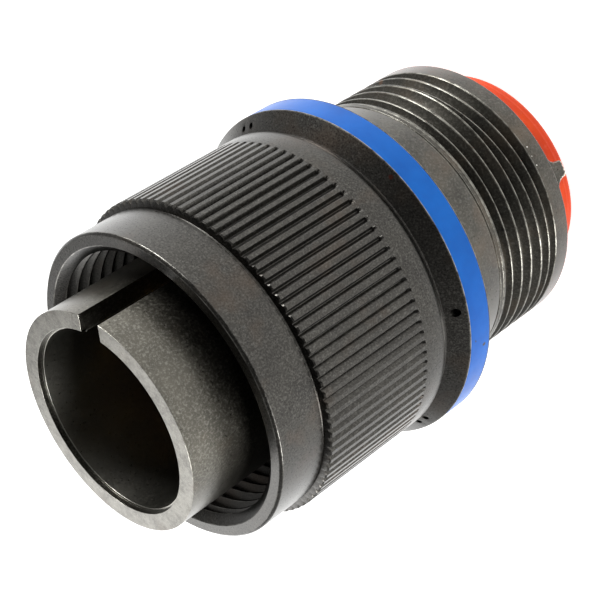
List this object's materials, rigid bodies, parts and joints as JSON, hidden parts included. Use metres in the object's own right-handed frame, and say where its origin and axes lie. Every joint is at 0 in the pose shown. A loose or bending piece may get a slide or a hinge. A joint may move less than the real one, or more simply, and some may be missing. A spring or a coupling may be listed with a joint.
{
  "type": "circular connector plug",
  "caption": "Cylindrical cable plug with a keyed mating barrel, a knurled screw-coupling nut with a blue colour band, a rear accessory thread and a soft orange wire seal.",
  "frame": {"origin": "centre of the rear face of the wire seal, on the connector's axis, the face that the plug stands on", "axes": "+Z along the axis towards the mating end, -Y towards the master keyway, +X completes the right-handed set"},
  "size_m": [0.031, 0.031, 0.0472],
  "materials": {
    "shell_metal": "satin dark grey conversion finish",
    "nut_metal": "satin dark grey conversion finish, worn on the crests",
    "band_enamel": "gloss blue enamel",
    "spring_steel": "bright spring steel",
    "washer_plastic": "matte",
    "seal_rubber": "matte silicone rubber",
    "wire_seal_rubber": "smooth moulded silicone rubber",
    "insert_plastic": "moulded thermoset",
    "contact_gold": "gold plated",
    "clip_copper": "beryllium copper"
  },
  "bodies": {
    "plug": {"plug_shell": "shell_metal", "thrust_washer": "washer_plastic", "peripheral_seal": "seal_rubber", "rear_wire_seal": "wire_seal_rubber", "rear_insert": "insert_plastic", "front_insert": "insert_plastic", "interfacial_seal": "seal_rubber", "contact_pin_1": "contact_gold", "contact_pin_2": "contact_gold", "contact_pin_3": "contact_gold", "contact_pin_4": "contact_gold", "contact_pin_5": "contact_gold", "contact_pin_6": "contact_gold", "contact_pin_7": "contact_gold", "contact_clip_1": "clip_copper", "contact_clip_2": "clip_copper", "contact_clip_3": "clip_copper", "contact_clip_4": "clip_copper", "contact_clip_5": "clip_copper", "contact_clip_6": "clip_copper", "contact_clip_7": "clip_copper"},
    "retaining_ring": {"retaining_ring": "spring_steel"},
    "coupling_nut": {"coupling_nut": "nut_metal", "colour_band": "band_enamel"}
  },
  "joints": [
    {"name": "nut_float", "type": "slide", "parent": "plug", "child": "retaining_ring", "axis": [0, 0, 1], "range_m": [0, 0.00095]},
    {"name": "nut_turn", "type": "hinge", "parent": "retaining_ring", "child": "coupling_nut", "pos_m": [0, 0, 0.0207], "axis": [0, 0, 1], "continuous": true}
  ]
}
